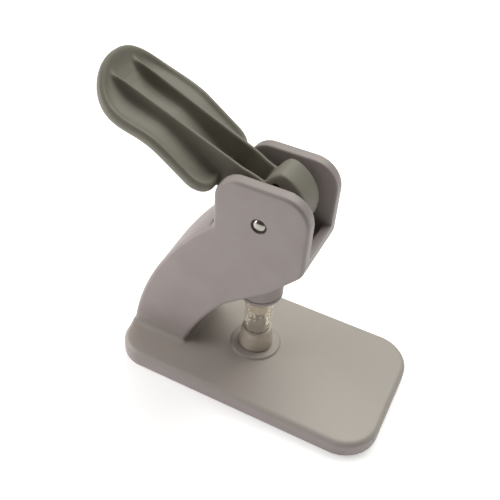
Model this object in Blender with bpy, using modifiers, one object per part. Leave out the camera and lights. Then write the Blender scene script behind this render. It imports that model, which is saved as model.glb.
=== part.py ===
"""Small hand lever press: one-piece base and C-frame, cam lever, sprung plunger, clear work guard.

Frame: origin on the plunger axis at the underside of the base, +X to the front edge of the
base, +Z up, Y across.  Rest pose: lever thrown back over the arm, plunger fully up.
"""
import math

import bmesh
import bpy
from mathutils import Matrix, Vector

MM = 0.001
GAP = 0.3                                   # running gap between neighbouring pieces, mm

# ---- driving dimensions, millimetres ------------------------------------------------
BASE_FRONT, BASE_REAR, BASE_HALF = 60.0, -50.0, 30.0
BASE_TOP, BASE_R_FRONT, BASE_R_REAR, BASE_EDGE = 7.4, 14.5, 12.5, 2.2
BOSS_R, BOSS_TOP = 10.2, 8.2
PAD_T, COVER_LOW, COVER_HIGH, TRAY_TOP = 0.9, 1.2, 3.2, 5.2

ARM_HALF, SLOT_HALF, ARM_EDGE = 15.0, 10.0, 1.6
SPINE_C, SPINE_R = (64.3, -11.0), 116.1     # arc of the rear surface
THROAT_C, THROAT_R = (65.1, -24.4), 96.4    # arc of the underside above the work
NOTCH_Z, EAR_REAR, EAR_FRONT, EAR_TOP = 73.6, -14.4, 20.8, 96.2
THROAT_TOP = 38.0                           # the arc runs straight on above this height
CROWN = 1.6                                 # swell of the rear surface below the ears

PIN_X, PIN_Z, PIN_R = 3.0, 81.3, 2.0
HUB_HALF = 6.0
HUB_FLAT, HUB_FLAT_DIR = 11.3, math.radians(140.0)
CAM_LOW, CAM_HIGH = 8.8, 16.0               # cam height under the pin, lever back and lever down
LEVER_SWING = math.radians(150.0)
LEVER_TILT = math.radians(31.5)             # lever above horizontal, pointing back
GRIP_IN, LEVER_TIP = 19.8, 76.1

STROKE = CAM_HIGH - CAM_LOW
SLEEVE_R, SLEEVE_LOW, FLOOR_Z = 8.75, 36.4, 60.0
GUARD_R, GUARD_IN, GUARD_LOW, GUARD_TOP = 5.9, 4.9, 17.8, 40.2
ROD_R = 3.0
TIP_LOW = 22.0
CUP_R, CUP_IN, CUP_LOW, CUP_TOP = 7.0, 4.6, 8.5, 17.5


# ---- scene and materials -------------------------------------------------------------
for old in list(bpy.data.objects):
    bpy.data.objects.remove(old, do_unlink=True)
PARTS = bpy.data.collections.new("hand_lever_press")
CUTTERS = bpy.data.collections.new("cutters")
bpy.context.scene.collection.children.link(PARTS)
bpy.context.scene.collection.children.link(CUTTERS)


def material(name, rgb, rough, metal=0.0, alpha=1.0):
    m = bpy.data.materials.new(name)
    m.use_nodes = True
    b = m.node_tree.nodes["Principled BSDF"]
    b.inputs["Base Color"].default_value = (*rgb, 1.0)
    b.inputs["Roughness"].default_value = rough
    b.inputs["Metallic"].default_value = metal
    b.inputs["Alpha"].default_value = alpha
    return m


BODY_GREY = material("body_plastic", (0.40, 0.36, 0.35), 0.45)
LEVER_GREY = material("lever_plastic", (0.13, 0.125, 0.105), 0.45)
STEEL = material("bright_steel", (0.72, 0.72, 0.72), 0.2, 1.0)
DARK_STEEL = material("dark_steel", (0.10, 0.10, 0.11), 0.35, 1.0)
SPRING_STEEL = material("spring_steel", (0.5, 0.5, 0.5), 0.3, 1.0)
CLEAR = material("clear_plastic", (0.85, 0.83, 0.78), 0.08, 0.0, 0.4)
CREAM = material("cream_plastic", (0.60, 0.56, 0.48), 0.35)
NYLON = material("white_nylon", (0.75, 0.74, 0.70), 0.5)
RUBBER = material("grey_rubber", (0.06, 0.06, 0.06), 0.9)


def finish(ob, mat, name):
    ob.name = name
    ob.data.name = name
    ob.data.materials.clear()
    ob.data.materials.append(mat)
    for c in list(ob.users_collection):
        c.objects.unlink(ob)
    PARTS.objects.link(ob)
    return ob


def as_tool(ob):
    for c in list(ob.users_collection):
        c.objects.unlink(ob)
    CUTTERS.objects.link(ob)
    ob.hide_render = True
    ob.display_type = "WIRE"
    return ob


def boolean(ob, tool, how):
    m = ob.modifiers.new(how.lower(), "BOOLEAN")
    m.operation, m.solver, m.object = how, "EXACT", tool
    as_tool(tool)
    return ob


def cut(ob, *tools):
    for t in tools:
        boolean(ob, t, "DIFFERENCE")
    return ob


def join(ob, *tools):
    for t in tools:
        boolean(ob, t, "UNION")
    return ob


# ---- basic shapes --------------------------------------------------------------------
def mesh_object(name, bm):
    me = bpy.data.meshes.new(name)
    bm.to_mesh(me)
    bm.free()
    ob = bpy.data.objects.new(name, me)
    CUTTERS.objects.link(ob)
    return ob


def box(x0, x1, y0, y1, z0, z1):
    bm = bmesh.new()
    bmesh.ops.create_cube(bm, size=1.0)
    for v in bm.verts:
        v.co = Vector(((x0 + x1) / 2 + v.co.x * (x1 - x0), (y0 + y1) / 2 + v.co.y * (y1 - y0),
                       (z0 + z1) / 2 + v.co.z * (z1 - z0))) * MM
    return mesh_object("box", bm)


def rod(p, r, length, axis="Z", seg=32):
    """Cylinder starting at p and running length along +axis."""
    bm = bmesh.new()
    bmesh.ops.create_cone(bm, cap_ends=True, segments=seg, radius1=r * MM, radius2=r * MM,
                          depth=length * MM)
    m = Matrix.Translation((0, 0, length * MM / 2))
    if axis == "Y":
        m = Matrix.Rotation(math.radians(-90), 4, "X") @ m
    bm.transform(Matrix.Translation(Vector(p) * MM) @ m)
    return mesh_object("rod", bm)


def turned(profile, centre=(0.0, 0.0), steps=32):
    """Solid of revolution about a vertical axis; profile is (radius, z), outer side downwards.
    A closed ring profile repeats its first point."""
    bm = bmesh.new()
    ring = profile[0] == profile[-1]
    pts = profile[:-1] if ring else profile
    vs = [bm.verts.new((r * MM, 0, z * MM)) for r, z in pts]
    for a, b in zip(vs, vs[1:]):
        bm.edges.new((a, b))
    if ring:
        bm.edges.new((vs[-1], vs[0]))
    ob = mesh_object("turned", bm)
    s = ob.modifiers.new("screw", "SCREW")
    s.axis, s.steps, s.render_steps = "Z", steps, steps
    s.use_merge_vertices, s.merge_threshold = True, 0.00001
    s.use_normal_calculate = False
    return place(bake(ob), (*centre, 0.0))


def place(ob, p):
    ob.data.transform(Matrix.Translation(Vector(p) * MM))
    return ob


def bake(ob):
    """Replace an object by its evaluated mesh, ready for a Boolean."""
    bpy.context.view_layer.update()
    me = bpy.data.meshes.new_from_object(ob.evaluated_get(bpy.context.evaluated_depsgraph_get()))
    new = bpy.data.objects.new(ob.name, me)
    new.matrix_world = ob.matrix_world.copy()
    CUTTERS.objects.link(new)
    bpy.data.objects.remove(ob, do_unlink=True)
    bm = bmesh.new()
    bm.from_mesh(me)
    bmesh.ops.remove_doubles(bm, verts=bm.verts, dist=0.000005)
    bmesh.ops.recalc_face_normals(bm, faces=bm.faces)
    bm.to_mesh(me)
    bm.free()
    return new


def plate(points, lo, hi, plane="XY", edge=0.0, edge_seg=1):
    """Flat outline between lo and hi along the plane's normal; edge rounds both rims."""
    cu = bpy.data.curves.new("plate", "CURVE")
    cu.dimensions, cu.fill_mode = "2D", "BOTH"
    cu.extrude = ((hi - lo) / 2 - edge) * MM
    if edge:
        cu.bevel_depth, cu.bevel_resolution, cu.offset = edge * MM, edge_seg, -edge * MM
    sp = cu.splines.new("POLY")
    sp.points.add(len(points) - 1)
    for q, (a, b) in zip(sp.points, points):
        q.co = (a * MM, b * MM, 0, 1)
    sp.use_cyclic_u = True
    ob = bpy.data.objects.new("plate", cu)
    CUTTERS.objects.link(ob)
    mid = (lo + hi) / 2
    if plane == "XY":
        ob.matrix_world = Matrix.Translation((0, 0, mid * MM))
    else:                                   # XZ outline, thickness along Y
        ob.matrix_world = (Matrix.Translation((0, mid * MM, 0))
                           @ Matrix.Rotation(math.radians(90), 4, "X"))
    ob = bake(ob)
    ob.data.transform(ob.matrix_world)
    ob.matrix_world = Matrix.Identity(4)
    return ob


def arc(c, r, a0, a1, n):
    return [(c[0] + r * math.cos(math.radians(a0 + (a1 - a0) * k / n)),
             c[1] + r * math.sin(math.radians(a0 + (a1 - a0) * k / n))) for k in range(n + 1)]


def rounded(corners, n=4):
    """Closed outline through (x, z, radius) corners, each rounded by its radius."""
    out = []
    m = len(corners)
    for i, (x, z, r) in enumerate(corners):
        p = Vector((x, z))
        if r <= 0:
            out.append((x, z))
            continue
        a = (Vector(corners[i - 1][:2]) - p).normalized()
        b = (Vector(corners[(i + 1) % m][:2]) - p).normalized()
        half = a.angle(b) / 2
        t = r / math.tan(half)
        c = p + (a + b).normalized() * (r / math.sin(half))
        s, e = p + a * t - c, p + b * t - c
        a0, a1 = math.atan2(s.y, s.x), math.atan2(e.y, e.x)
        while a1 - a0 > math.pi:
            a1 -= 2 * math.pi
        while a0 - a1 > math.pi:
            a1 += 2 * math.pi
        out += [(c.x + r * math.cos(a0 + (a1 - a0) * k / n),
                 c.y + r * math.sin(a0 + (a1 - a0) * k / n)) for k in range(n + 1)]
    return out


def base_outline(inset=0.0, n=6):
    f, b, h = BASE_FRONT - inset, BASE_REAR + inset, BASE_HALF - inset
    rf, rb = BASE_R_FRONT - inset, BASE_R_REAR - inset
    return rounded([(f, h, rf), (b, h, rb), (b, -h, rb), (f, -h, rf)], n)


def round_upper_rim(ob, z, width, seg=2):
    """Bevel the rim at height z."""
    me = ob.data
    w = me.attributes.new("bevel_weight_edge", "FLOAT", "EDGE")
    for e in me.edges:
        if all(abs(me.vertices[v].co.z - z * MM) < 1e-6 for v in e.vertices) \
                and len([f for f in me.polygons if set(e.vertices) <= set(f.vertices)
                         and abs(f.normal.z) < 0.5]):
            w.data[e.index].value = 1.0
    b = ob.modifiers.new("rim", "BEVEL")
    b.limit_method, b.width, b.segments = "WEIGHT", width * MM, seg
    return bake(ob)


# ---- press body ----------------------------------------------------------------------
def spine_x(z):
    return SPINE_C[0] - math.sqrt(SPINE_R ** 2 - (z - SPINE_C[1]) ** 2)


def throat_x(z):
    return THROAT_C[0] - math.sqrt(THROAT_R ** 2 - (z - THROAT_C[1]) ** 2)


def arm_outline():
    low = 3.0
    rear = [(spine_x(z), z) for z in [low + (NOTCH_Z - low) * k / 9 for k in range(10)]]
    ear = rounded([(EAR_REAR, NOTCH_Z + 1.0, 0), (EAR_REAR, EAR_TOP, 9.0),
                   (EAR_FRONT, EAR_TOP, 10.5), (EAR_FRONT, 65.8, 7.0), (9.0, 52.4, 6.0),
                   (throat_x(THROAT_TOP) + 3.0, THROAT_TOP + 2.5, 0)], 4)
    throat = [(throat_x(z), z) for z in [THROAT_TOP - (THROAT_TOP - low) * k / 8 for k in range(9)]]
    return rear + ear + throat


def ear_slot():
    """Opening between the ears: chin at the front, stop web at the back."""
    return [(30, 71.5), (30, 110), (-30, 110), (-30, 95), (-14.6, 83.4), (-11.0, 81.2),
            (-11.0, 70), (-11.0, FLOOR_Z), (10.6, FLOOR_Z), (10.6, 61.5), (17.2, 69.8), (17.6, 71.5)]


def crown():
    """Swelling of the rear surface under the ears, highest on the middle plane."""
    bm = bmesh.new()
    rows = []
    for k in range(8):
        z = 40.0 + (72.6 - 40.0) * k / 7
        t = min((z - 40.0) / 22.0, 1.0)
        h = CROWN * t * t * (3 - 2 * t)
        nx, nz = (spine_x(z) - SPINE_C[0]) / SPINE_R, (z - SPINE_C[1]) / SPINE_R
        row = []
        for j in range(9):
            y = (ARM_HALF - ARM_EDGE) * (j - 4) / 4
            d = h * (1 - (y / ARM_HALF) ** 2) - 0.15
            row.append((spine_x(z) + nx * d, y, z + nz * d))
        rows.append(row + [(spine_x(z) + 2.5, row[-1][1], z - 1.5), (spine_x(z) + 2.5, row[0][1], z - 1.5)])
    vs = [[bm.verts.new(Vector(p) * MM) for p in row] for row in rows]
    n = len(vs[0])
    for a, b in zip(vs, vs[1:]):
        for i in range(n):
            bm.faces.new((a[i], a[(i + 1) % n], b[(i + 1) % n], b[i]))
    bm.faces.new(vs[0][::-1])
    bm.faces.new(vs[-1])
    bmesh.ops.recalc_face_normals(bm, faces=bm.faces)
    return mesh_object("crown", bm)


def leg_core():
    """Hollow of the leg, open to the underside."""
    rear = [(spine_x(z) + 3.4, z) for z in (4.0, 16.0, 28.0, 40.0, 50.0)]
    return rear + [(-28.0, 50.0), (-28.0, 4.0)]


def make_body():
    body = round_upper_rim(plate(base_outline(), 0.0, BASE_TOP), BASE_TOP, BASE_EDGE)
    arm = plate(arm_outline(), -ARM_HALF, ARM_HALF, "XZ", ARM_EDGE)
    boss = turned([(0, BOSS_TOP), (BOSS_R - 0.4, BOSS_TOP), (BOSS_R, BOSS_TOP - 0.4),
                   (BOSS_R, 5.5), (0, 5.5)])
    join(arm, crown())
    join(body, bake(arm), boss)
    cut(body,
        plate(ear_slot(), -SLOT_HALF, SLOT_HALF, "XZ"),
        plate(leg_core(), -11.5, 11.5, "XZ"),
        plate(base_outline(1.6, 4), -5.0, COVER_HIGH + GAP))
    tray = plate(base_outline(3.2, 4), -4.0, TRAY_TOP)
    for x, y in COVER_SCREWS.values():
        cut(tray, rod((x, y, -6), 3.0, 14, seg=20))
    cut(body, bake(tray))
    for x, y in COVER_SCREWS.values():
        cut(body, rod((x, y, 1.0), 1.4, 5.3, seg=16))
    cut(body,
        rod((0, 0, 20), SLEEVE_R + GAP, 45),
        rod((0, 0, -1), 1.9, 12, seg=20),
        rod((PIN_X, -20, PIN_Z), PIN_R + GAP, 40, "Y", 24),
        rod((PIN_X, -16, PIN_Z), 3.0, 2.3, "Y", 28),
        rod((PIN_X, 13.3, PIN_Z), 4.9, 2.8, "Y", 28))
    return finish(bake(body), BODY_GREY, "press_body")


COVER_SCREWS = {"cover_screw_front_left": (34.0, 21.0), "cover_screw_front_right": (34.0, -21.0),
                "cover_screw_rear_left": (-36.0, 21.0), "cover_screw_rear_right": (-36.0, -21.0)}


def make_cover():
    c = plate(base_outline(1.6 + GAP, 4), COVER_LOW, COVER_HIGH)
    for x, y in COVER_SCREWS.values():
        cut(c, rod((x, y, -1), 1.5, 6, seg=16), rod((x, y, -1), 2.9, 3.5, seg=20))
    finish(bake(c), BODY_GREY, "base_cover")
    finish(plate(base_outline(1.6 + GAP, 4), 0.0, PAD_T), RUBBER, "anti_slip_pad")


def screw(x, y, head_z, head_r, head_h, shank_r, top_z, seg=16):
    """Upright screw driven from below, with a cross recess in its head."""
    s = turned([(0, top_z), (shank_r * 0.6, top_z), (shank_r, top_z - 0.6),
                (shank_r, head_z + head_h), (head_r, head_z + head_h),
                (head_r, head_z + 0.3), (head_r - 0.4, head_z), (0, head_z)], (x, y), seg)
    d = head_h * 0.45
    cross = box(x - head_r * 0.6, x + head_r * 0.6, y - 0.3, y + 0.3, head_z - 1, head_z + d)
    other = box(x - 0.3, x + 0.3, y - head_r * 0.6, y + head_r * 0.6, head_z - 1, head_z + d)
    cut(s, cross, other)
    return bake(s)


def make_screws():
    for name, (x, y) in COVER_SCREWS.items():
        finish(screw(x, y, 1.4, 2.5, 0.8, 1.1, 6.0, 14), STEEL, name)
    finish(screw(0, 0, 3.6, 2.8, 1.3, 1.5, 10.3, 20), STEEL, "die_screw")


# ---- lower die -----------------------------------------------------------------------
def make_die():
    finish(turned([(CUP_IN, CUP_TOP), (CUP_R - 1.3, CUP_TOP), (CUP_R - 0.9, CUP_TOP - 0.5),
                   (CUP_R - 0.3, 13.0), (CUP_R, 9.8), (CUP_R, CUP_LOW), (1.8, CUP_LOW),
                   (1.8, 10.7), (CUP_IN, 10.7), (CUP_IN, CUP_TOP)]), CREAM, "die_cup")
    finish(turned([(0, 14.2), (0.8, 14.2), (1.2, 13.8), (1.4, 12.2), (4.2, 12.0), (4.2, 11.0),
                   (0, 11.0)], steps=24), STEEL, "die_post")


# ---- plunger group -------------------------------------------------------------------
CAP_TOP = PIN_Z - CAM_LOW - GAP             # follower face under the cam
WEB_LOW, WEB_TOP, FLANGE_TOP = 49.0, 52.0, 61.5


def make_guide():
    """Flanged bush dropped into the head from above: spring pocket over, guard pocket under."""
    finish(turned([(6.6, FLANGE_TOP), (9.8, FLANGE_TOP), (9.8, FLOOR_Z + GAP),
                   (SLEEVE_R, FLOOR_Z + GAP), (SLEEVE_R, SLEEVE_LOW + 2.3), (7.3, SLEEVE_LOW + 2.3),
                   (7.3, WEB_LOW), (ROD_R + GAP, WEB_LOW), (ROD_R + GAP, WEB_TOP),
                   (6.6, WEB_TOP), (6.6, FLANGE_TOP)]), BODY_GREY, "plunger_guide")
    finish(turned([(GUARD_R + GAP, SLEEVE_LOW + 2.0), (SLEEVE_R, SLEEVE_LOW + 2.0), (SLEEVE_R, SLEEVE_LOW + 0.5),
                   (SLEEVE_R - 0.5, SLEEVE_LOW), (GUARD_R + GAP, SLEEVE_LOW),
                   (GUARD_R + GAP, SLEEVE_LOW + 2.0)]),
           BODY_GREY, "guide_end_ring")


def make_plunger():
    low = CAP_TOP - 3.2
    finish(turned([(0, CAP_TOP), (7.4, CAP_TOP), (8.0, CAP_TOP - 0.6), (8.0, low),
                   (ROD_R + GAP, low), (ROD_R + GAP, low + 1.9), (0, low + 1.9)]),
           NYLON, "plunger_cap")
    finish(turned([(0, low + 1.6), (2.6, low + 1.6), (ROD_R, low + 1.2), (ROD_R, 48.9),
                   (2.5, 48.9), (2.5, 47.9), (ROD_R, 47.9), (ROD_R, 32.3), (1.6, 32.3),
                   (1.6, 28.5), (0, 28.5)], steps=24), STEEL, "plunger_rod")
    clip = turned([(2.65, 48.7), (4.2, 48.7), (4.2, 48.1), (2.65, 48.1), (2.65, 48.7)], steps=28)
    cut(clip, box(1.0, 6.0, -1.8, 1.8, 47, 50))
    finish(bake(clip), STEEL, "rod_clip")
    finish(turned([(1.9, 32.0), (3.3, 32.0), (3.7, 31.6), (3.7, 27.6), (3.3, 27.2),
                   (1.3, 27.2), (1.3, 28.2), (1.9, 28.2), (1.9, 32.0)], steps=24),
           CREAM, "punch_holder")
    tip = turned([(0, 28.2), (1.0, 28.2), (1.0, TIP_LOW + 0.6), (0.5, TIP_LOW), (0, TIP_LOW)],
                 steps=16)
    for k in range(2):
        fin = box(-1.9, 1.9, -0.4, 0.4, TIP_LOW + 0.3, 26.9)
        fin.data.transform(Matrix.Rotation(math.radians(20 + 90 * k), 4, "Z"))
        join(tip, fin)
    finish(bake(tip), DARK_STEEL, "punch_tip")
    finish(coil(5.0, 0.45, WEB_TOP + 0.3, low - 0.3, 6.0), SPRING_STEEL, "return_spring")


def coil(mean_r, wire_r, z0, z1, turns):
    """Compression spring with one closed turn at each end."""
    per = 12
    cu = bpy.data.curves.new("coil", "CURVE")
    cu.dimensions, cu.bevel_depth, cu.bevel_resolution = "3D", wire_r * MM, 2
    cu.use_fill_caps = True
    lo, hi, n = z0 + wire_r, z1 - wire_r, int(per * turns)
    closed = wire_r * 2.3
    sp = cu.splines.new("POLY")
    sp.points.add(n)
    for k in range(n + 1):
        t = k / per
        if t < 1:
            z = lo + closed * t
        elif t > turns - 1:
            z = hi - closed * (turns - t)
        else:
            z = lo + closed + (hi - lo - 2 * closed) * (t - 1) / (turns - 2)
        a = 2 * math.pi * t
        sp.points[k].co = (mean_r * math.cos(a) * MM, mean_r * math.sin(a) * MM, z * MM, 1)
    ob = bpy.data.objects.new("coil", cu)
    CUTTERS.objects.link(ob)
    return bake(ob)


def make_guard():
    finish(turned([(GUARD_IN, GUARD_TOP), (6.9, GUARD_TOP), (6.9, GUARD_TOP - 1.5),
                   (GUARD_R, GUARD_TOP - 1.5), (GUARD_R, 26.0), (GUARD_R - 1.0, GUARD_LOW),
                   (GUARD_IN - 0.6, GUARD_LOW), (GUARD_IN, 26.0), (GUARD_IN, GUARD_TOP)]),
           CLEAR, "clear_guard")
    finish(coil(6.1, 0.35, GUARD_TOP + 0.3, WEB_LOW - 0.3, 4.0), SPRING_STEEL, "guard_spring")


# ---- lever ---------------------------------------------------------------------------
def cam_height(psi):
    """Support distance of the cam from the pin axis in direction psi (radians from +X to +Z).
    It rises evenly over the working swing, so the plunger follows the lever in step."""
    rate = STROKE / LEVER_SWING
    a, b, ease = math.radians(-90), math.radians(-90) + LEVER_SWING, math.radians(30)
    if psi < a:
        t = min((a - psi) / ease, 1.0)
        return CAM_LOW - rate * ease * (t - t * t / 2), rate * (1 - t)
    if psi <= b:
        return CAM_LOW + rate * (psi - a), rate
    t = min((psi - b) / ease, 1.0)
    return CAM_HIGH + rate * ease * (t - t * t / 2), rate * (1 - t)


def cam_point(psi):
    h, d = cam_height(psi)
    c, s = math.cos(psi), math.sin(psi)
    return (PIN_X + h * c - d * s, PIN_Z + h * s + d * c)


def lever_point(s, n):
    """s along the lever from the pin, n towards its ribbed side."""
    c, t = math.cos(LEVER_TILT), math.sin(LEVER_TILT)
    return (PIN_X - c * s + t * n, PIN_Z + t * s + c * n)


def step(a, b, x):
    """Smooth step from 0 at a to 1 at b."""
    t = min(max((x - a) / (b - a), 0.0), 1.0)
    return t * t * (3 - 2 * t)


def rim_height(s):
    """Height n of the rim along the lever: a swell under the palm, a dip behind it, tip turned up."""
    fall = 0.075 * (math.hypot(44.0 - s, 4.0) - 4.0) if s < 44.0 else 0.0
    return -3.5 + 2.9 * (1 - step(44.0, 62.0, s)) - fall + 0.0245 * max(s - 62.0, 0.0) ** 2


def half_width(s):
    """Half width of the grip along the lever."""
    inner, tip = GRIP_IN, LEVER_TIP
    side = 18.7 + 1.9 * step(38.0, 70.0, s)
    if s < inner + 8:
        k = (inner + 8 - s) / 8
        return 11.5 + (side - 11.5) * math.sqrt(max(1 - k * k, 0.0))
    if s < 52:
        return side
    k = (s - 52) / (tip - 52)
    return side * max(1 - k ** 2.1, 0.0) ** (1 / 2.3)


def stations():
    """Places along the grip, closer together round its corners and its tip."""
    inner = [GRIP_IN + 8 * (1 - math.cos(math.radians(18 * k))) for k in range(5)]
    middle = [GRIP_IN + 8 + (52 - GRIP_IN - 8) * k / 4 for k in range(4)]
    tip = [52 + (LEVER_TIP - 52) * math.sin(math.radians(9 * k)) for k in range(11)]
    return inner + middle + tip


def grip(inset, n_lo, n_hi):
    """Grip-shaped slab between two heights below or above the rim line."""
    s0, s1 = GRIP_IN + inset, LEVER_TIP - inset
    bm = bmesh.new()
    rows = []
    for q in stations():
        s = s0 + (q - GRIP_IN) / (LEVER_TIP - GRIP_IN) * (s1 - s0)
        w = max(half_width(q) - inset, 0.6)
        row = []
        for y, n in ((-w, n_hi), (w, n_hi), (w, n_lo), (-w, n_lo)):
            x, z = lever_point(s, rim_height(s) + n)
            row.append(bm.verts.new((x * MM, y * MM, z * MM)))
        rows.append(row)
    for a, b in zip(rows, rows[1:]):
        for i in range(4):
            j = (i + 1) % 4
            bm.faces.new((a[i], b[i], b[j], a[j]))
    bm.faces.new(rows[0])
    bm.faces.new(rows[-1][::-1])
    bmesh.ops.recalc_face_normals(bm, faces=bm.faces)
    return mesh_object("grip", bm)


def hub_outline(n=36):
    """Cam outline, cut flat where the neck's ribs meet it."""
    psi0, psi1 = math.radians(-205), math.radians(118)
    pts = [Vector(cam_point(psi0 + (psi1 - psi0) * k / n)) for k in range(n + 1)]
    out = Vector((math.cos(HUB_FLAT_DIR), math.sin(HUB_FLAT_DIR)))
    pin = Vector((PIN_X, PIN_Z))
    kept = []
    for a, b in zip(pts, pts[1:] + pts[:1]):
        da, db = (a - pin).dot(out) - HUB_FLAT, (b - pin).dot(out) - HUB_FLAT
        if da <= 0:
            kept.append(a)
        if da * db < 0:
            kept.append(a.lerp(b, da / (da - db)))
    return [(p.x, p.y) for p in kept]


def make_lever():
    hub = hub_outline()
    lever = plate(hub, -HUB_HALF, HUB_HALF, "XZ")
    slab = grip(0.0, -4.6, 0.0)
    dish = grip(2.8, -1.5, 3.0)
    cut(slab, dish)
    neck = plate([lever_point(2.0, -7.4), lever_point(2.0, 1.0), lever_point(26.0, -4.9),
                  lever_point(26.0, -7.0)], 0.3 - HUB_HALF, HUB_HALF - 0.3, "XZ")
    lever = join(lever, bake(slab), neck)
    top = lambda s: 8.9 - 0.15 * s
    for side in (-1, 1):
        rib = [lever_point(2.0, -6.5), lever_point(2.0, 6.0), lever_point(8.5, top(8.5)),
               lever_point(65.0, top(65.0)), lever_point(69.5, top(69.5) - 0.6),
               lever_point(72.0, rim_height(72.0) - 1.2), lever_point(72.0, rim_height(72.0) - 3.2),
               lever_point(56.0, rim_height(56.0) - 3.2), lever_point(36.0, rim_height(36.0) - 3.2)]
        y0, y1 = sorted((side * (HUB_HALF - 2.2), side * (HUB_HALF - 0.15)))
        blade = plate(rib, y0, y1, "XZ")
        for v in blade.data.vertices:              # the ribs spread a little towards the tip
            v.co.y += side * 0.016 * ((PIN_X * MM - v.co.x) * math.cos(LEVER_TILT)
                                      + (v.co.z - PIN_Z * MM) * math.sin(LEVER_TILT))
        lever = join(lever, blade)
    cut(lever,
        rod((PIN_X, -10, PIN_Z), PIN_R + GAP, 20, "Y", 24),
        rod((4.1, -10, 92.2), 1.6, 10.5, "Y", 20))
    lever = bake(lever)
    pivot = Vector((PIN_X, 0, PIN_Z)) * MM
    lever.data.transform(Matrix.Translation(-pivot))
    lever.location = pivot
    return finish(lever, LEVER_GREY, "handle_lever")


def make_pivot():
    pin = rod((PIN_X, -15.0, PIN_Z), PIN_R, 29.6, "Y", 24)
    head = turned([(0, 15.4), (1.1, 15.3), (2.0, 14.9), (2.6, 14.3), (2.6, 14.0), (0, 14.0)],
                  steps=24)
    head.data.transform(Matrix.Translation((PIN_X * MM, 0, PIN_Z * MM))
                        @ Matrix.Rotation(math.radians(90), 4, "X"))
    join(pin, head)
    finish(bake(pin), STEEL, "pivot_pin")
    nut = turned([(PIN_R + 0.25, 14.6), (4.5, 14.1), (4.5, 13.6), (PIN_R + 0.25, 14.0),
                  (PIN_R + 0.25, 14.6)], steps=24)
    nut.data.transform(Matrix.Translation((PIN_X * MM, 0, PIN_Z * MM))
                       @ Matrix.Rotation(math.radians(-90), 4, "X"))
    finish(nut, STEEL, "pin_push_nut")
    for name, y0 in (("hub_spacer_near", -9.7), ("hub_spacer_far", 6.3)):
        s = rod((PIN_X, y0, PIN_Z), 3.8, 3.4, "Y", 24)
        cut(s, rod((PIN_X, y0 - 1, PIN_Z), PIN_R + GAP, 6, "Y", 24))
        finish(bake(s), NYLON, name)


make_body()
make_cover()
make_screws()
make_die()
make_guide()
make_plunger()
make_guard()
make_lever()
make_pivot()

for ob in PARTS.objects:
    ob.data.shade_smooth()
    ob.data.set_sharp_from_angle(angle=math.radians(35))
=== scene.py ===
"""Hand lever press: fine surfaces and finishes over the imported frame. Lengths below are millimetres."""
import math

import bmesh
import bpy
from mathutils import Matrix, Vector


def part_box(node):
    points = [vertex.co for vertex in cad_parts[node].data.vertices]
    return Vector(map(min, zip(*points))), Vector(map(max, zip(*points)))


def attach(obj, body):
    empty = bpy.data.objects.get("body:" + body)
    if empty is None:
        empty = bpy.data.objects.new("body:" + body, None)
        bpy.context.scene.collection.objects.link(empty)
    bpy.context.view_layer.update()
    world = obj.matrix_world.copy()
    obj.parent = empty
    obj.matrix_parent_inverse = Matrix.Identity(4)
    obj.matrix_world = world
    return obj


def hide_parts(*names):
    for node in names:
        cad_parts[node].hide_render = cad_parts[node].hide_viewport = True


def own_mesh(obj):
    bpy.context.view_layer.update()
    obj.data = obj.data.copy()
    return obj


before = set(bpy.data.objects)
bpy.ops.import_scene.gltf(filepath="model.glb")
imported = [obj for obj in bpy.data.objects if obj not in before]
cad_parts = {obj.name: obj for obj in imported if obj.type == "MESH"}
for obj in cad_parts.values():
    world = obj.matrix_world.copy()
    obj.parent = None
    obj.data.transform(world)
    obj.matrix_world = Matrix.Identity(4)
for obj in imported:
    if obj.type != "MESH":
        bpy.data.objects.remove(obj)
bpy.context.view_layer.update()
MM = 0.001
bpy.context.scene.view_settings.view_transform = "Standard"


def node(name):
    """Lowest and highest corner of a CAD node, millimetres."""
    lo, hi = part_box(name)
    return lo / MM, hi / MM


# ---- sizes, read off the frame ---------------------------------------------------------
BODY_LO, BODY_HI = node("press_body")
BASE_FRONT, BASE_HALF, EAR_TOP = BODY_HI.x, BODY_HI.y, BODY_HI.z
BASE_REAR, BASE_TOP = BODY_LO.x, 7.4
R_FRONT, R_REAR, RIM_R = 14.5, 12.5, 2.2
ARM_HALF, SLOT_HALF, ARM_EDGE = 15.0, 10.0, 1.3
SPINE_C, SPINE_R = (64.3, -11.0), 116.1
THROAT_C, THROAT_R = (65.1, -24.4), 96.4
NOTCH_Z, EAR_REAR, EAR_FRONT, THROAT_TOP, CROWN = 73.6, -14.4, 20.8, 38.0, 1.6
PIN = (node("pivot_pin")[0] + node("pivot_pin")[1]) / 2
PIN_R, PIN_BORE, HEAD_R, HEAD_BORE, NUT_BORE = 2.0, 2.3, 2.6, 3.0, 4.9
HUB_HALF, TILT = 6.0, math.radians(31.5)       # the lever's slope at rest
GRIP_IN, GRIP_CORNER, GRIP_FULL, GRIP_TIP = 19.8, 8.0, 52.0, 76.1    # along the lever from the pin
HEEL_HALF = 11.5
SWELL_FROM, SWELL_TO = 44.0, 62.0
SLAB_TOP, SLAB_LOW = -1.35, -4.9               # dish floor and underside, measured from the rim
FLOOR_Z = 60.0                                 # floor of the slot between the ears
GUIDE_R, GUIDE_HEAD_R, GUIDE_BORE = 8.75, 9.8, 9.05
COVER_INSET = 1.9
SCREWS = [("front", "left", 34.0, 21.0), ("front", "right", 34.0, -21.0),
          ("rear", "left", -36.0, 21.0), ("rear", "right", -36.0, -21.0)]


# ---- shapes ----------------------------------------------------------------------------
def link(name, me):
    ob = bpy.data.objects.new(name, me)
    bpy.context.scene.collection.objects.link(ob)
    return ob


def from_bm(name, bm):
    me = bpy.data.meshes.new(name)
    bm.to_mesh(me)
    bm.free()
    return link(name, me)


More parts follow.
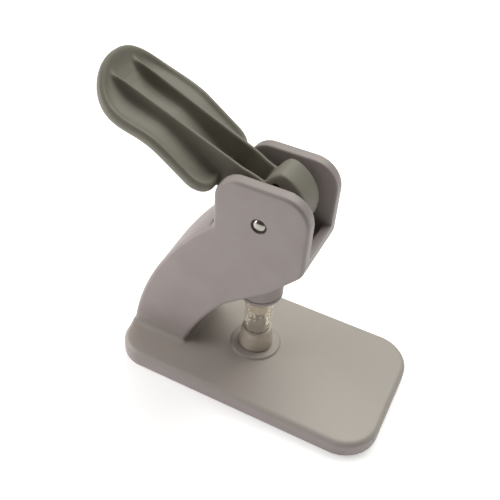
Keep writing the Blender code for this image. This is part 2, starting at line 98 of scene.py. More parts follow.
def applied(ob):
    """The object's evaluated mesh as a plain mesh object of the same name."""
    bpy.context.view_layer.update()
    me = bpy.data.meshes.new_from_object(ob.evaluated_get(bpy.context.evaluated_depsgraph_get()))
    me.transform(ob.matrix_world)
    name = ob.name
    bpy.data.objects.remove(ob, do_unlink=True)
    return link(name, me)


def welded(ob):
    bm = bmesh.new()
    bm.from_mesh(ob.data)
    bmesh.ops.remove_doubles(bm, verts=bm.verts, dist=0.000004)
    bmesh.ops.recalc_face_normals(bm, faces=bm.faces)
    bm.to_mesh(ob.data)
    bm.free()
    return ob


def loft(name, rings):
    """Closed skin over rings of (x, y, z) points in millimetres."""
    bm = bmesh.new()
    rows = [[bm.verts.new(Vector(p) * MM) for p in ring] for ring in rings]
    n = len(rows[0])
    for a, b in zip(rows, rows[1:]):
        for i in range(n):
            j = (i + 1) % n
            bm.faces.new((a[i], a[j], b[j], b[i]))
    bm.faces.new(rows[0][::-1])
    bm.faces.new(rows[-1])
    bmesh.ops.recalc_face_normals(bm, faces=bm.faces)
    return from_bm(name, bm)


def turned(name, profile, centre=(0.0, 0.0, 0.0), axis="Z", steps=96, soft=0.0):
    """Solid of revolution about axis through centre.

    The profile is (radius, z) points; a ring repeats its first point. soft rounds its corners.
    """
    ring = profile[0] == profile[-1]
    pts = list(profile[:-1] if ring else profile)
    if soft:
        out, m = [], len(pts)
        for i, (r, z) in enumerate(pts):
            if r < 1e-6 or (not ring and i in (0, m - 1)):
                out.append((r, z))
                continue
            p, a, b = Vector((r, z)), Vector(pts[i - 1]), Vector(pts[(i + 1) % m])
            ta, tb = (a - p), (b - p)
            d = min(soft, ta.length * 0.4, tb.length * 0.4)
            s, e = p + ta.normalized() * d, p + tb.normalized() * d
            for k in range(4):
                t = k / 3
                q = s * (1 - t) ** 2 + p * 2 * t * (1 - t) + e * t * t
                out.append((q.x, q.y))
        pts = out
    bm = bmesh.new()
    vs = [bm.verts.new((r * MM, 0, z * MM)) for r, z in pts]
    for a, b in zip(vs, vs[1:]):
        bm.edges.new((a, b))
    if ring:
        bm.edges.new((vs[-1], vs[0]))
    ob = from_bm(name, bm)
    s = ob.modifiers.new("screw", "SCREW")
    s.steps, s.render_steps = steps, steps
    s.use_merge_vertices, s.merge_threshold = True, 0.000002
    ob = welded(applied(ob))
    m = Matrix.Translation(Vector(centre) * MM)
    if axis == "Y":
        m = m @ Matrix.Rotation(math.radians(-90), 4, "X")
    elif axis == "-Y":
        m = m @ Matrix.Rotation(math.radians(90), 4, "X")
    ob.data.transform(m)
    return ob


def bored(ob, centre, radius, axis, low, length, steps):
    """The object with a round hole from low to length along the axis."""
    profile = [(0, length), (radius, length), (radius, low), (0, low)]
    return boolean(ob, turned("bore", profile, centre, axis, steps), "DIFFERENCE")


def plate(name, points, lo, hi, plane="XY", edge=0.0, seg=6):
    """Flat outline between lo and hi along the plane's normal, its rims rounded by edge."""
    cu = bpy.data.curves.new(name, "CURVE")
    cu.dimensions, cu.fill_mode = "2D", "BOTH"
    cu.extrude = ((hi - lo) / 2 - edge) * MM
    if edge:
        cu.bevel_depth, cu.bevel_resolution, cu.offset = edge * MM, seg, -edge * MM
    sp = cu.splines.new("POLY")
    sp.points.add(len(points) - 1)
    for q, (a, b) in zip(sp.points, points):
        q.co = (a * MM, b * MM, 0, 1)
    sp.use_cyclic_u = True
    ob = link(name, cu)
    mid = (lo + hi) / 2 * MM
    if plane == "XY":
        ob.matrix_world = Matrix.Translation((0, 0, mid))
    else:
        ob.matrix_world = Matrix.Translation((0, mid, 0)) @ Matrix.Rotation(math.radians(90), 4, "X")
    return welded(applied(ob))


def boolean(ob, tool, how):
    m = ob.modifiers.new(how, "BOOLEAN")
    m.operation, m.solver, m.object = how, "EXACT", tool
    ob = applied(ob)
    bpy.data.objects.remove(tool, do_unlink=True)
    return ob


def fuse(name, objects, voxel, rounds, keep=1.0):
    """One skin over overlapping solids, its edges and inside corners softened."""
    bm = bmesh.new()
    for o in objects:
        bm.from_mesh(o.data)
        bpy.data.objects.remove(o, do_unlink=True)
    ob = from_bm(name, bm)
    r = ob.modifiers.new("skin", "REMESH")
    r.mode, r.voxel_size, r.adaptivity = "VOXEL", voxel * MM, 0.0
    s = ob.modifiers.new("soften", "SMOOTH")
    s.factor, s.iterations = 0.5, rounds
    if keep < 1.0:
        d = ob.modifiers.new("thin", "DECIMATE")
        d.ratio = keep
    return applied(ob)


def rounded(corners, n=12):
    """Closed outline through (x, y, radius) corners, each rounded by its radius."""
    out, m = [], len(corners)
    for i, (x, y, r) in enumerate(corners):
        p = Vector((x, y))
        if r <= 0:
            out.append((x, y))
            continue
        a = (Vector(corners[i - 1][:2]) - p).normalized()
        b = (Vector(corners[(i + 1) % m][:2]) - p).normalized()
        half = a.angle(b) / 2
        c = p + (a + b).normalized() * (r / math.sin(half))
        s, e = p + a * (r / math.tan(half)) - c, p + b * (r / math.tan(half)) - c
        a0, a1 = math.atan2(s.y, s.x), math.atan2(e.y, e.x)
        while a1 - a0 > math.pi:
            a1 -= 2 * math.pi
        while a0 - a1 > math.pi:
            a1 += 2 * math.pi
        out += [(c.x + r * math.cos(a0 + (a1 - a0) * k / n),
                 c.y + r * math.sin(a0 + (a1 - a0) * k / n)) for k in range(n + 1)]
    return out


def base_outline(inset=0.0, n=16):
    f, b, h = BASE_FRONT - inset, BASE_REAR + inset, BASE_HALF - inset
    return rounded([(f, h, R_FRONT - inset), (b, h, R_REAR - inset),
                    (b, -h, R_REAR - inset), (f, -h, R_FRONT - inset)], n)


def smooth(ob, angle=38.0):
    """Smooth shading, kept sharp at edges over the angle in degrees."""
    ob.data.shade_smooth()
    ob.data.set_sharp_from_angle(angle=math.radians(angle))
    return ob


def step(a, b, x):
    """Smooth step from 0 at a to 1 at b."""
    t = min(max((x - a) / (b - a), 0.0), 1.0)
    return t * t * (3 - 2 * t)


# ---- press body ------------------------------------------------------------------------
def spine_x(z):
    return max(SPINE_C[0] - math.sqrt(SPINE_R ** 2 - (z - SPINE_C[1]) ** 2), BASE_REAR + 0.05)


def throat_x(z):
    return THROAT_C[0] - math.sqrt(THROAT_R ** 2 - (z - THROAT_C[1]) ** 2)


def arm_outline():
    low = 3.0
    rear = [(spine_x(z), z) for z in [low + (NOTCH_Z - 1.0 - low) * k / 48 for k in range(49)]]
    notch = [(-14.9, 73.9), (-14.5, 74.8)]
    ear = rounded([(EAR_REAR, NOTCH_Z + 2.0, 0), (EAR_REAR, EAR_TOP, 9.0), (EAR_FRONT, EAR_TOP, 10.5),
                   (EAR_FRONT, 65.8, 7.0), (9.0, 52.4, 6.0),
                   (throat_x(THROAT_TOP) + 3.0, THROAT_TOP + 2.5, 0)], 14)
    throat = [(throat_x(z), z) for z in [THROAT_TOP - (THROAT_TOP - low) * k / 36 for k in range(37)]]
    return rear + notch + ear + throat


def crown():
    """Swelling of the rear surface under the ears, highest on the middle plane."""
    rings = []
    for k in range(30):
        z = 40.0 + (73.0 - 40.0) * k / 29
        nx, nz = (spine_x(z) - SPINE_C[0]) / SPINE_R, (z - SPINE_C[1]) / SPINE_R
        ring = []
        for j in range(25):
            y = (ARM_HALF - ARM_EDGE) * (j - 12) / 12
            d = CROWN * step(40.0, 62.0, z) * (1 - (y / ARM_HALF) ** 2) - 0.1
            ring.append((spine_x(z) + nx * d, y, z + nz * d))
        rings.append(ring + [(spine_x(z) + 3, ring[-1][1], z - 1.5),
                             (spine_x(z) + 3, ring[0][1], z - 1.5)])
    return loft("crown", rings)


def skirt():
    """Hollow fillet where the arm grows out of the base."""
    rings = []
    for k in range(-1, 9):
        t = max(k, 0) / 8
        z, d = (BASE_TOP + 2.2 * t if k >= 0 else 6.0), 2.2 * (1 - math.sqrt(1 - (1 - t) ** 2))
        x0, x1, h = max(spine_x(z) - d, BASE_REAR + 0.3), throat_x(z) + d, ARM_HALF - 0.1 + d
        outline = rounded([(x1, h, 1.5), (x0, h, 0), (x0, -h, 0), (x1, -h, 1.5)], 4)
        rings.append([(x, y, z) for x, y in outline])
    return loft("skirt", rings)


def make_body():
    levels = [(0.0, 0.5), (0.15, 0.15), (0.5, 0.0), (BASE_TOP - RIM_R, 0.0)]
    levels += [(BASE_TOP - RIM_R + RIM_R * math.sin(a), RIM_R * (1 - math.cos(a)))
               for a in [math.radians(k * 11.25) for k in range(1, 9)]]
    base = loft("base", [[(x, y, z) for x, y in base_outline(d)] for z, d in levels])
    arm = plate("arm", arm_outline(), -ARM_HALF, ARM_HALF, "XZ", ARM_EDGE)
    slot = plate("slot", [(30, 71.5), (30, 110), (-30, 110), (-30, 95), (-14.6, 83.4), (-11, 81.2),
                          (-11, FLOOR_Z), (10.6, FLOOR_Z), (10.6, 61.5), (17.2, 69.8), (17.6, 71.5)],
                 -SLOT_HALF, SLOT_HALF, "XZ")
    arm = boolean(arm, slot, "DIFFERENCE")
    body = fuse("body_moulding", [base, arm, crown(), skirt()], 0.45, 4, 0.4)
    boss = turned("boss", [(0, 8.2), (9.6, 8.2), (9.95, 8.1), (10.15, 7.9), (10.25, 7.65), (10.6, 7.43),
                           (11.0, 7.3), (11.0, 6.8), (0, 6.8)], steps=144)
    body = boolean(body, boss, "UNION")
    cover = plate("recess", base_outline(1.6), -3.0, 3.5)
    body = boolean(body, cover, "DIFFERENCE")
    bores = [((0, 0, 20), GUIDE_BORE, "Z", 45), ((PIN.x, -20, PIN.z), PIN_BORE, "Y", 40),
             ((PIN.x, -16, PIN.z), HEAD_BORE, "Y", 2.3), ((PIN.x, 13.3, PIN.z), NUT_BORE, "Y", 2.8)]
    for centre, radius, axis, length in bores:
        body = bored(body, centre, radius, axis, 0, length, 72)
    return smooth(body)


# ---- lever -----------------------------------------------------------------------------
def lever_point(s, n, y=0.0):
    """s along the lever from the pin, n towards its ribbed side."""
    c, t = math.cos(TILT), math.sin(TILT)
    return (PIN.x - c * s + t * n, y, PIN.z + t * s + c * n)


def rim_height(s):
    """Height of the grip's rim: a swell under the palm, a dip behind it, and the tip turned up."""
    near = SWELL_FROM - s
    fall = 0.075 * (math.hypot(near, 4.0) - 4.0) if near > 0 else 0.0
    swell = 2.9 * (1 - step(SWELL_FROM, SWELL_TO, s))
    return -3.5 + swell - fall + 0.0245 * max(s - SWELL_TO, 0.0) ** 2


def half_width(s):
    """Half the grip's width: a rounded heel, nearly straight sides and a blunt round tip."""
    side = 18.7 + 1.9 * step(38.0, 70.0, s)
    if s < GRIP_IN + GRIP_CORNER:
        k = (GRIP_IN + GRIP_CORNER - s) / GRIP_CORNER
        return HEEL_HALF + (side - HEEL_HALF) * math.sqrt(max(1 - k * k, 0.0))
    if s < GRIP_FULL:
        return side
    k = min((s - GRIP_FULL) / (GRIP_TIP - GRIP_FULL), 1.0)
    return side * (1 - k ** 2.1) ** (1 / 2.3)


def grip_outline(n=220):
    """Points round the grip, evenly spaced."""
    q = [GRIP_IN + GRIP_CORNER * (1 - math.cos(math.radians(3 * k))) for k in range(30)]
    q += [GRIP_IN + GRIP_CORNER + (GRIP_FULL - GRIP_IN - GRIP_CORNER) * k / 40 for k in range(40)]
    q += [GRIP_FULL + (GRIP_TIP - GRIP_FULL) * math.sin(math.radians(1.5 * k)) for k in range(61)]
    side = [(s, half_width(s)) for s in q]
    ring = side + [(s, -w) for s, w in side[::-1]]
    ring = [p for i, p in enumerate(ring) if (Vector(p) - Vector(ring[i - 1])).length > 1e-6]
    cum = [0.0]
    for a, b in zip(ring, ring[1:] + ring[:1]):
        cum.append(cum[-1] + (Vector(b) - Vector(a)).length)
    out, i = [], 0
    for k in range(n):
        d = cum[-1] * k / n
        while cum[i + 1] < d:
            i += 1
        t = (d - cum[i]) / (cum[i + 1] - cum[i])
        out.append(Vector(ring[i]).lerp(Vector(ring[(i + 1) % len(ring)]), t))
    return out


def make_grip():
    """Dished slab with a rolled rim, as rings that shrink from the rim to the middle on both faces."""
    outline = grip_outline()
    m = len(outline)

    def inset(d):
        pts = []
        for i, p in enumerate(outline):
            t = (outline[(i + 1) % m] - outline[i - 1]).normalized()
            inward = Vector((-t.y, t.x))
            if (Vector((48.0, 0.0)) - p).dot(inward) < 0:
                inward = -inward
            pts.append(p + inward * d)
        return pts

    def at_height(points, h):
        return [lever_point(p.x, rim_height(p.x) + h, p.y) for p in points]

    def floor_rings(h):
        rings = []
        for t in (0.12, 0.25, 0.4, 0.55, 0.7, 0.82, 0.92, 0.98):
            inner = [p.lerp(Vector((min(max(p.x, 41.0), 46.0), 0.0)), t) for p in inset(6.0)]
            rings.append(at_height(inner, h))
        return rings

    # (inset from the outline, height from the rim)
    top = [(0.0, -1.9), (0.15, -1.2), (0.5, -0.55), (1.0, -0.15), (1.6, 0.0), (2.1, -0.1), (2.6, -0.5),
           (3.1, -0.85), (3.8, -1.15), (4.8, -1.3), (6.0, SLAB_TOP)]
    low = [(0.0, -2.6), (0.2, -3.4), (0.7, -4.1), (1.5, -4.5), (3.0, -4.75), (6.0, SLAB_LOW)]
    rim = [at_height(inset(d), h) for d, h in low[::-1] + top]
    return loft("grip", floor_rings(SLAB_LOW)[::-1] + rim + floor_rings(SLAB_TOP))


def make_rib(side):
    """One of the two ribs from the hub to the tip; they spread a little and run out at the end."""
    rings = []
    for k in range(60):
        s = 1.0 + 71.5 * k / 59
        top = min(8.9 - 0.15 * s, 7.7) - 0.9 * step(64, 72.5, s)
        foot = rim_height(max(s, 21.0)) + SLAB_TOP if s > 20 else -5.4
        tall = max(top - foot, 0.6)
        thin = 0.95 - 0.3 * step(50, 71, s)            # half thickness near the crest
        wide = 1.4 - 0.3 * step(50, 71, s)             # and at the foot
        fill = min(1.5, tall * 0.4) * step(14, 24, s)  # fillet
        mid = side * (HUB_HALF - 1.25 + 0.75 * step(11.0, 18.0, s) + 0.016 * s)
        half = [(wide + fill * 1.2, -0.9), (wide + fill * 1.1, 0.0), (wide + fill * 0.45, fill * 0.35),
                (wide + fill * 0.1, fill * 0.9), (thin + (wide - thin) * 0.4, tall * 0.6),
                (thin, tall - 1.0), (thin * 0.86, tall - 0.45), (thin * 0.5, tall - 0.1), (0.0, tall)]
        left = [(mid - y, foot + n) for y, n in half]
        right = [(mid + y, foot + n) for y, n in half[-2::-1]]
        rings.append([lever_point(s, n, y) for y, n in left + right])
    return loft("rib", rings)


def cam_point(psi):
    """Cam outline: its support distance from the pin rises evenly over the working swing."""
    low, high, swing, ease = 8.8, 16.0, math.radians(150), math.radians(30)
    rate, a = (high - low) / swing, math.radians(-90)
    if psi < a:
        t = min((a - psi) / ease, 1.0)
        h, d = low - rate * ease * (t - t * t / 2), rate * (1 - t)
    elif psi <= a + swing:
        h, d = low + rate * (psi - a), rate
    else:
        t = min((psi - a - swing) / ease, 1.0)
        h, d = high + rate * ease * (t - t * t / 2), rate * (1 - t)
    c, s = math.cos(psi), math.sin(psi)
    return Vector((PIN.x + h * c - d * s, PIN.z + h * s + d * c))


def make_hub():
    """Cam hub, cut flat where the neck's ribs meet it."""
    psi0, psi1, n = math.radians(-205), math.radians(118), 130
    pts = [cam_point(psi0 + (psi1 - psi0) * k / n) for k in range(n + 1)]
    way, far = math.radians(140.0), 11.3               # the flat's direction and distance from the pin
    out, pin = Vector((math.cos(way), math.sin(way))), Vector((PIN.x, PIN.z))
    kept = []
    for a, b in zip(pts, pts[1:] + pts[:1]):
        da, db = (a - pin).dot(out) - far, (b - pin).dot(out) - far
        if da <= 0:
            kept.append(a)
        if da * db < 0:
            kept.append(a.lerp(b, da / (da - db)))
    for _ in range(14):                            # softens the corners of the flat
        kept = [(kept[i - 1] + p * 2 + kept[(i + 1) % len(kept)]) / 4 for i, p in enumerate(kept)]
    return plate("hub", [(p.x, p.y) for p in kept], -HUB_HALF, HUB_HALF, "XZ", 1.2, 4)


def make_lever():
    neck = [[lever_point(s, n, y) for y, n in ((-5.8, -7.2), (-5.8, -4.6), (5.8, -4.6), (5.8, -7.2))]
            for s in (0.5, 6.0, 12.0, 18.0, 25.0)]
    neck = loft("neck", neck)
    lever = fuse("lever", [make_grip(), make_rib(-1), make_rib(1), neck, make_hub()], 0.4, 6, 0.5)
    lever = bored(lever, (PIN.x, -10, PIN.z), PIN_BORE, "Y", 0, 20, 48)
    lever = bored(lever, (4.1, -10, 92.2), 1.6, "Y", 0, 10.5, 48)      # blind hole in the hub's side
    return smooth(lever)


# ---- turned and small pieces -----------------------------------------------------------
def coil(name, mean_r, wire_r, z0, z1, turns):
    """Compression spring from z0 to z1 with one closed turn at each end."""
    per = 40
    cu = bpy.data.curves.new(name, "CURVE")
    cu.dimensions, cu.bevel_depth, cu.bevel_resolution, cu.use_fill_caps = "3D", wire_r * MM, 4, True
    lo, hi, n, closed = z0 + wire_r, z1 - wire_r, int(per * turns), wire_r * 2.3
    sp = cu.splines.new("POLY")
    sp.points.add(n)
    for k in range(n + 1):
        t = k / per
        if t < 1:
            z = lo + closed * t
        elif t > turns - 1:
            z = hi - closed * (turns - t)
        else:
            z = lo + closed + (hi - lo - 2 * closed) * (t - 1) / (turns - 2)
        sp.points[k].co = (mean_r * math.cos(2 * math.pi * t) * MM,
                           mean_r * math.sin(2 * math.pi * t) * MM, z * MM, 1)
    return smooth(applied(link(name, cu)), 60)


def make_guard():
    """Flanged clear tube, drawn in at its mouth."""
    lo, hi = node("clear_guard")
    z0, z1 = lo.z, hi.z
    ob = turned("guard_tube", [(4.9, z1), (6.9, z1), (6.9, z1 - 1.5), (5.9, z1 - 1.5), (5.9, 26.0),
                               (4.9, z0), (4.3, z0), (4.9, 26.0), (4.9, z1)], steps=120, soft=0.25)
    for v in ob.data.vertices:                         # soft flutes inside the bore
        r = math.hypot(v.co.x, v.co.y)
        if 0.0042 < r < 0.00505 and v.co.z < (z1 - 1.0) * MM:
            a = math.atan2(v.co.y, v.co.x)
            k = 1 + 0.035 * math.sin(9 * a)
            v.co.x *= k
            v.co.y *= k
    return smooth(ob, 50)


def make_star():
    """Punch tip: two crossed fins on a shank."""
    lo, hi = node("punch_tip")
    z0 = lo.z
    shank = turned("star", [(0, hi.z), (1.0, hi.z), (1.0, z0 + 0.6), (0.5, z0), (0, z0)], steps=48)
    for k in range(2):
        fin = plate("fin", rounded([(1.9, 0.4, 0.25), (-1.9, 0.4, 0.25), (-1.9, -0.4, 0.25),
                                    (1.9, -0.4, 0.25)], 4), z0 + 0.3, 26.9, "XY", 0.15, 2)
        fin.data.transform(Matrix.Rotation(math.radians(20 + 90 * k), 4, "Z"))
        shank = boolean(shank, fin, "UNION")
    return smooth(shank, 30)


def make_clip():
    lo, hi = node("rod_clip")
    ring = turned("clip", [(2.65, hi.z), (4.2, hi.z), (4.2, lo.z), (2.65, lo.z), (2.65, hi.z)], soft=0.1)
    cutter = plate("gap", [(1, -1.8), (6, -1.8), (6, 1.8), (1, 1.8)], lo.z - 1, hi.z + 1)
    return smooth(boolean(ring, cutter, "DIFFERENCE"), 30)


def make_screw(x, y, head_z, head_r, head_h, shank_r, top_z):
    """Cross-head screw that points up from head_z to top_z."""
    prof = [(0, top_z), (shank_r * 0.6, top_z), (shank_r, top_z - 0.6)]
    z = top_z - 0.6
    while z - 0.5 > head_z + head_h + 0.2:             # rolled thread as shallow grooves
        prof += [(shank_r, z - 0.1), (shank_r * 0.86, z - 0.25), (shank_r, z - 0.4)]
        z -= 0.5
    prof += [(shank_r, head_z + head_h), (head_r, head_z + head_h), (head_r, head_z + 0.25),
             (head_r - 0.35, head_z), (0, head_z)]
    ob = turned("s", prof, (x, y, 0), steps=56)
    w = head_r * 0.6
    for a in (0, 90):
        arm = rounded([(w, 0.3, 0.12), (-w, 0.3, 0.12), (-w, -0.3, 0.12), (w, -0.3, 0.12)], 3)
        tool = plate("recess", arm, -1.0, head_h * 0.45)
        tool.data.transform(Matrix.Translation((x * MM, y * MM, head_z * MM))
                            @ Matrix.Rotation(math.radians(a + 20), 4, "Z"))
        ob = boolean(ob, tool, "DIFFERENCE")
    return smooth(ob, 30)


# ---- materials -------------------------------------------------------------------------
def srgb(r, g, b):
    """Linear colour from display values of 0 to 255."""
    linear = [c / 255 / 12.92 if c < 11 else ((c / 255 + 0.055) / 1.055) ** 2.4 for c in (r, g, b)]
    return tuple(linear) + (1.0,)


def material(name):
    m = bpy.data.materials.new(name)
    m.use_nodes = True
    nt = m.node_tree
    return m, nt, nt.nodes["Principled BSDF"], nt.nodes.new("ShaderNodeTexCoord").outputs["Object"]


def noise(nt, vector, scale, detail):
    tex = nt.nodes.new("ShaderNodeTexNoise")
    tex.inputs["Scale"].default_value, tex.inputs["Detail"].default_value = scale, detail
    nt.links.new(vector, tex.inputs["Vector"])
    return tex.outputs["Fac"]


def vary_roughness(nt, shader, value, low, high):
    span = nt.nodes.new("ShaderNodeMapRange")
    span.inputs["To Min"].default_value, span.inputs["To Max"].default_value = low, high
    nt.links.new(value, span.inputs["Value"])
    nt.links.new(span.outputs["Result"], shader.inputs["Roughness"])


def relief(nt, shader, height, strength, distance):
    bump = nt.nodes.new("ShaderNodeBump")
    bump.inputs["Strength"].default_value, bump.inputs["Distance"].default_value = strength, distance
    nt.links.new(height, bump.inputs["Height"])
    nt.links.new(bump.outputs["Normal"], shader.inputs["Normal"])


def painted_top_light(nt, place, colour, top_light_colour):
    """The colour with painted light: turned paler on the base's upper face and fading out up the foot of
    the arm, where the light falls.
    """
    axis = nt.nodes.new("ShaderNodeSeparateXYZ")
    nt.links.new(place, axis.inputs["Vector"])
    level = nt.nodes.new("ShaderNodeMapRange")
    level.inputs["From Max"].default_value = 0.02
    nt.links.new(axis.outputs["Z"], level.inputs["Value"])
    top_light_band = nt.nodes.new("ShaderNodeValToRGB")
    stops = top_light_band.color_ramp.elements
    stops[0].position, stops[1].position, stops[1].color = 0.27, 0.345, (0.9, 0.9, 0.9, 1)
    stops.new(0.43).color = (0.9, 0.9, 0.9, 1)
    stops.new(0.75).color = (0, 0, 0, 1)
    nt.links.new(level.outputs["Result"], top_light_band.inputs["Fac"])
    # painted highlight: the lighter colour mixed in over the upper face
    mix = nt.nodes.new("ShaderNodeMixRGB")
    mix.inputs["Color2"].default_value = top_light_colour
    nt.links.new(top_light_band.outputs["Color"], mix.inputs["Fac"])
    nt.links.new(colour, mix.inputs["Color1"])
    return mix.outputs["Color"]


def plastic(name, dark, light, rough, grain=0.06, grain_scale=2600.0, sss=0.0, top_light_colour=None):
    """Moulded plastic: slight colour clouds, a fine spark-eroded grain and faint flow in its gloss, and
    optionally a painted highlight on its upper face.
    """
    cloud_scale = 90.0
    m, nt, shader, place = material(name)
    ramp = nt.nodes.new("ShaderNodeValToRGB")
    ends = ramp.color_ramp.elements
    ends[0].position, ends[1].position = 0.3, 0.7
    ends[0].color, ends[1].color = dark, light
    nt.links.new(noise(nt, place, cloud_scale, 4.0), ramp.inputs["Fac"])
    colour = ramp.outputs["Color"]
    # pale top: painted light on the upper face, not a colour of the plastic
    if top_light_colour:
        colour = painted_top_light(nt, place, colour, top_light_colour)
    nt.links.new(colour, shader.inputs["Base Color"])
    vary_roughness(nt, shader, noise(nt, place, cloud_scale * 3, 3.0), *rough)
    relief(nt, shader, noise(nt, place, grain_scale, 2.0), grain, 0.0001)
    shader.inputs["Specular IOR Level"].default_value = 0.45
    shader.inputs["Subsurface Weight"].default_value = sss
    shader.inputs["Subsurface Radius"].default_value = (0.0015, 0.0012, 0.001)
    return m


def metal(name, colour, rough):
    """Turned or drawn metal with fine tool marks."""
    m, nt, shader, place = material(name)
    shader.inputs["Base Color"].default_value = colour
    shader.inputs["Metallic"].default_value = 1.0
    stretch = nt.nodes.new("ShaderNodeMapping")
    stretch.inputs["Scale"].default_value = (1.0, 1.0, 8.0)
    nt.links.new(place, stretch.inputs["Vector"])
    marks = noise(nt, stretch.outputs["Vector"], 900.0, 3.0)
    vary_roughness(nt, shader, marks, *rough)
    relief(nt, shader, marks, 0.05, 0.00005)
    return m


def clear_plastic(name):
    """Clear moulding with gentle waves; a trace of glow stands in for light caught inside it."""
    m, nt, shader, place = material(name)
    shader.inputs["Base Color"].default_value = srgb(238, 233, 225)
    shader.inputs["Transmission Weight"].default_value = 0.92
    shader.inputs["Emission Color"].default_value = srgb(236, 226, 210)
    shader.inputs["Emission Strength"].default_value = 0.06
    shader.inputs["IOR"].default_value = 1.42
    shader.inputs["Roughness"].default_value = 0.05
    relief(nt, shader, noise(nt, place, 420.0, 2.0), 0.6, 0.0004)
    return m


MATS = {
    # the body's paler top colour below is painted light falling on its upper face
    "body_plastic": plastic("body_plastic", srgb(157, 147, 145), srgb(163, 153, 151), (0.42, 0.52),
                            top_light_colour=srgb(178, 170, 163)),
    "lever_plastic": plastic("lever_plastic", srgb(122, 118, 106), srgb(130, 126, 114), (0.5, 0.6)),
    "bright_steel": metal("bright_steel", srgb(170, 166, 160), (0.08, 0.16)),
    "dark_steel": metal("dark_steel", srgb(62, 56, 50), (0.3, 0.45)),
    "spring_steel": metal("spring_steel", srgb(168, 166, 162), (0.25, 0.4)),
    "clear_plastic": clear_plastic("clear_plastic"),
    "cream_plastic": plastic("cream_plastic", srgb(206, 194, 178), srgb(214, 202, 186), (0.22, 0.32),
                             0.03, sss=0.25),
    "white_nylon": plastic("white_nylon", srgb(208, 204, 194), srgb(216, 212, 204), (0.4, 0.5), 0.05),
    "grey_rubber": plastic("grey_rubber", srgb(46, 45, 44), srgb(58, 57, 55), (0.7, 0.9), 0.4, 1500.0),
}


def show(ob, name, body, slot, *nodes):
    """Name a piece, give it its material, and let it ride on a body in place of CAD nodes."""
    ob.name = name
    ob.data.name = name
    ob.data.materials.clear()
    ob.data.materials.append(MATS[slot])
    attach(ob, body)
    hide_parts(*nodes)


# ---- assembly --------------------------------------------------------------------------
show(make_body(), "body_moulding", "frame", "body_plastic", "press_body")
show(make_lever(), "lever_moulding", "lever", "lever_plastic", "handle_lever")

cover = plate("cover", base_outline(COVER_INSET), 1.2, 3.2, "XY", 0.2, 2)
for end, side, x, y in SCREWS:                         # shank hole and head recess
    for radius, top in ((1.5, 5.0), (2.9, 2.5)):
        cover = bored(cover, (x, y, 0), radius, "Z", -1, top, 40)
show(smooth(cover), "cover_plate", "frame", "body_plastic", "base_cover")
show(smooth(plate("pad", base_outline(COVER_INSET), 0.0, 0.9, "XY", 0.15, 2)),
     "rubber_sheet", "frame", "grey_rubber", "anti_slip_pad")
for end, side, x, y in SCREWS:
    show(make_screw(x, y, 1.4, 2.5, 0.8, 1.1, 6.0),
         f"screw_{end}_{side}", "frame", "bright_steel", f"cover_screw_{end}_{side}")
show(make_screw(0, 0, 3.6, 2.8, 1.3, 1.5, 10.3), "screw_die", "frame", "bright_steel", "die_screw")

cup_lo, cup_hi = node("die_cup")
CUP_R, CUP_TOP, CUP_LOW = cup_hi.x, cup_hi.z, cup_lo.z
show(smooth(turned("cup", [(4.6, CUP_TOP), (5.5, CUP_TOP), (6.1, CUP_TOP - 0.5), (6.5, 14.6),
                           (CUP_R - 0.15, 11.6), (CUP_R, 9.6), (CUP_R, CUP_LOW), (1.8, CUP_LOW),
                           (1.8, 10.7), (4.6, 10.7), (4.6, CUP_TOP)], steps=128, soft=0.5), 50),
     "lower_die", "frame", "cream_plastic", "die_cup")
show(smooth(turned("post", [(0, 14.2), (0.8, 14.2), (1.2, 13.8), (1.4, 12.2), (4.2, 12.0), (4.2, 11.0),
                            (0, 11.0)], steps=72, soft=0.15), 40),
     "centre_post", "frame", "bright_steel", "die_post")

g_lo, g_hi = node("plunger_guide")
r_lo, r_hi = node("guide_end_ring")
show(smooth(turned("guide", [(6.6, g_hi.z), (GUIDE_HEAD_R, g_hi.z), (GUIDE_HEAD_R, FLOOR_Z + 0.3),
                             (GUIDE_R, FLOOR_Z + 0.3), (GUIDE_R, g_lo.z), (7.3, g_lo.z), (7.3, 49.0),
                             (3.3, 49.0), (3.3, 52.0), (6.6, 52.0), (6.6, g_hi.z)],
                   steps=128, soft=0.3), 40),
     "guide_sleeve", "frame", "body_plastic", "plunger_guide")
show(smooth(turned("ring", [(6.2, r_hi.z), (GUIDE_R, r_hi.z), (GUIDE_R, r_lo.z + 0.7), (8.05, r_lo.z),
                            (6.2, r_lo.z), (6.2, r_hi.z)], steps=128, soft=0.35), 50),
     "guide_ring", "frame", "body_plastic", "guide_end_ring")

cap_lo, cap_hi = node("plunger_cap")
show(smooth(turned("cap", [(0, cap_hi.z), (7.4, cap_hi.z), (8.0, cap_hi.z - 0.6), (8.0, cap_lo.z),
                           (3.3, cap_lo.z), (3.3, cap_lo.z + 1.9), (0, cap_lo.z + 1.9)], soft=0.25), 40),
     "follower_cap", "plunger", "white_nylon", "plunger_cap")
rod_lo, rod_hi = node("plunger_rod")
show(smooth(turned("rod", [(0, rod_hi.z), (2.6, rod_hi.z), (3.0, rod_hi.z - 0.4), (3.0, 48.9),
                           (2.5, 48.9), (2.5, 47.9), (3.0, 47.9), (3.0, 32.3), (1.6, 32.3),
                           (1.6, rod_lo.z), (0, rod_lo.z)], steps=72, soft=0.1), 30),
     "press_rod", "plunger", "bright_steel", "plunger_rod")
show(make_clip(), "stop_clip", "plunger", "bright_steel", "rod_clip")
show(smooth(turned("holder", [(1.9, 32.0), (3.3, 32.0), (3.7, 31.6), (3.7, 27.6), (3.3, 27.2),
                              (1.3, 27.2), (1.3, 28.2), (1.9, 28.2), (1.9, 32.0)], steps=72, soft=0.2), 40),
     "tip_holder", "plunger", "cream_plastic", "punch_holder")
show(make_star(), "star_tip", "plunger", "dark_steel", "punch_tip")
show(make_guard(), "guard_tube", "guard", "clear_plastic", "clear_guard")

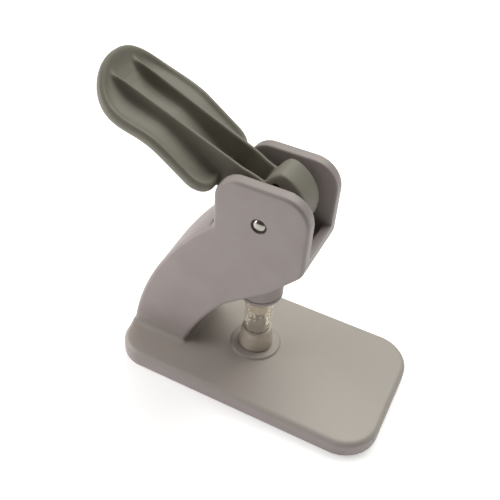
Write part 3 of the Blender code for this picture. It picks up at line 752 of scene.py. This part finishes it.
lo, hi = node("return_spring")
spring = coil("lift_spring", 5.0, 0.45, lo.z, hi.z, 6.0)
show(spring, "lift_spring", "frame", "spring_steel", "return_spring")
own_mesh(spring)
lo, hi = node("guard_spring")
spring = coil("tube_spring", 6.1, 0.35, lo.z, hi.z, 4.0)
show(spring, "tube_spring", "frame", "spring_steel", "guard_spring")
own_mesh(spring)

show(smooth(turned("pin", [(0, 15.4), (1.1, 15.3), (1.9, 14.95), (2.4, 14.5), (HEAD_R, 14.1),
                           (HEAD_R, 13.9), (PIN_R, 13.9), (PIN_R, -14.2), (1.7, -14.6), (0, -14.6)],
                   (PIN.x, 0, PIN.z), "-Y", 72), 40),
     "chrome_pin", "frame", "bright_steel", "pivot_pin")
show(smooth(turned("nut", [(2.25, 14.6), (4.5, 14.1), (4.5, 13.6), (2.25, 14.0), (2.25, 14.6)],
                   (PIN.x, 0, PIN.z), "Y", 72, 0.08), 40),
     "push_nut", "frame", "bright_steel", "pin_push_nut")
for name, y0 in (("near", -9.7), ("far", 6.3)):
    show(smooth(turned("spacer", [(PIN_BORE, 3.4), (3.8, 3.4), (3.8, 0.0), (PIN_BORE, 0.0),
                                  (PIN_BORE, 3.4)], (PIN.x, y0, PIN.z), "Y", 72, 0.25), 50),
         f"spacer_{name}", "frame", "white_nylon", f"hub_spacer_{name}")

# ---- floor, light and camera -----------------------------------------------------------
bm = bmesh.new()
bmesh.ops.create_grid(bm, x_segments=2, y_segments=2, size=3.0)
floor = from_bm("floor", bm)
floor.location.z = -0.00005                    # just below the pad, so that the two don't flicker
white = bpy.data.materials.new("floor_white")
white.use_nodes = True
fb = white.node_tree.nodes["Principled BSDF"]
fb.inputs["Base Color"].default_value = (0.9, 0.9, 0.9, 1)
fb.inputs["Roughness"].default_value = 0.9
fb.inputs["Emission Color"].default_value = (1, 1, 1, 1)
fb.inputs["Emission Strength"].default_value = 0.45
floor.data.materials.append(white)

world = bpy.data.worlds.new("studio")
bpy.context.scene.world = world
world.use_nodes = True
world.node_tree.nodes["Background"].inputs["Color"].default_value = (1.0, 0.95, 0.95, 1)
world.node_tree.nodes["Background"].inputs["Strength"].default_value = 0.10


def area(name, place, aim, size, power, colour):
    d = bpy.data.lights.new(name, "AREA")
    d.shape, d.size, d.energy, d.color = "DISK", size, power, colour
    ob = bpy.data.objects.new(name, d)
    bpy.context.scene.collection.objects.link(ob)
    ob.location = place
    ob.rotation_euler = (Vector(aim) - Vector(place)).to_track_quat("-Z", "Y").to_euler()


area("back_soft", (0.06, 0.40, 0.72), (0, 0, 0.04), 0.7, 5.4, (0.98, 1.0, 0.94))
area("right_soft", (0.62, 0.24, 0.34), (0, 0, 0.03), 0.4, 0.2, (0.97, 1.0, 0.95))
area("left_soft", (-0.62, -0.10, 0.40), (-0.03, 0, 0.02), 0.6, 2.6, (1.0, 0.98, 0.97))
area("foot_soft", (-0.20, -0.12, 0.11), (-0.05, -0.01, 0.0), 0.12, 0.13, (1.0, 0.98, 0.97))

AZ, EL, ROLL = math.radians(23.6), math.radians(41.34), math.radians(4.67)
TARGET, DIST = Vector((-0.01031, 0.0100, 0.04599)), 0.2768
back = Vector((math.sin(AZ) * math.cos(EL), -math.cos(AZ) * math.cos(EL), math.sin(EL)))
right = Vector((math.cos(AZ), math.sin(AZ), 0))
up = back.cross(right)
rolled_right = right * math.cos(ROLL) + up * math.sin(ROLL)
rolled_up = up * math.cos(ROLL) - right * math.sin(ROLL)
cam = bpy.data.objects.new("camera", bpy.data.cameras.new("camera"))
bpy.context.scene.collection.objects.link(cam)
cam.data.lens, cam.data.sensor_width = 50.31, 36.0
cam.data.clip_start, cam.data.clip_end = 0.01, 10.0
pose = Matrix((rolled_right, rolled_up, back)).transposed().to_4x4()
pose.translation = TARGET + back * DIST
cam.matrix_world = pose
bpy.context.scene.camera = cam
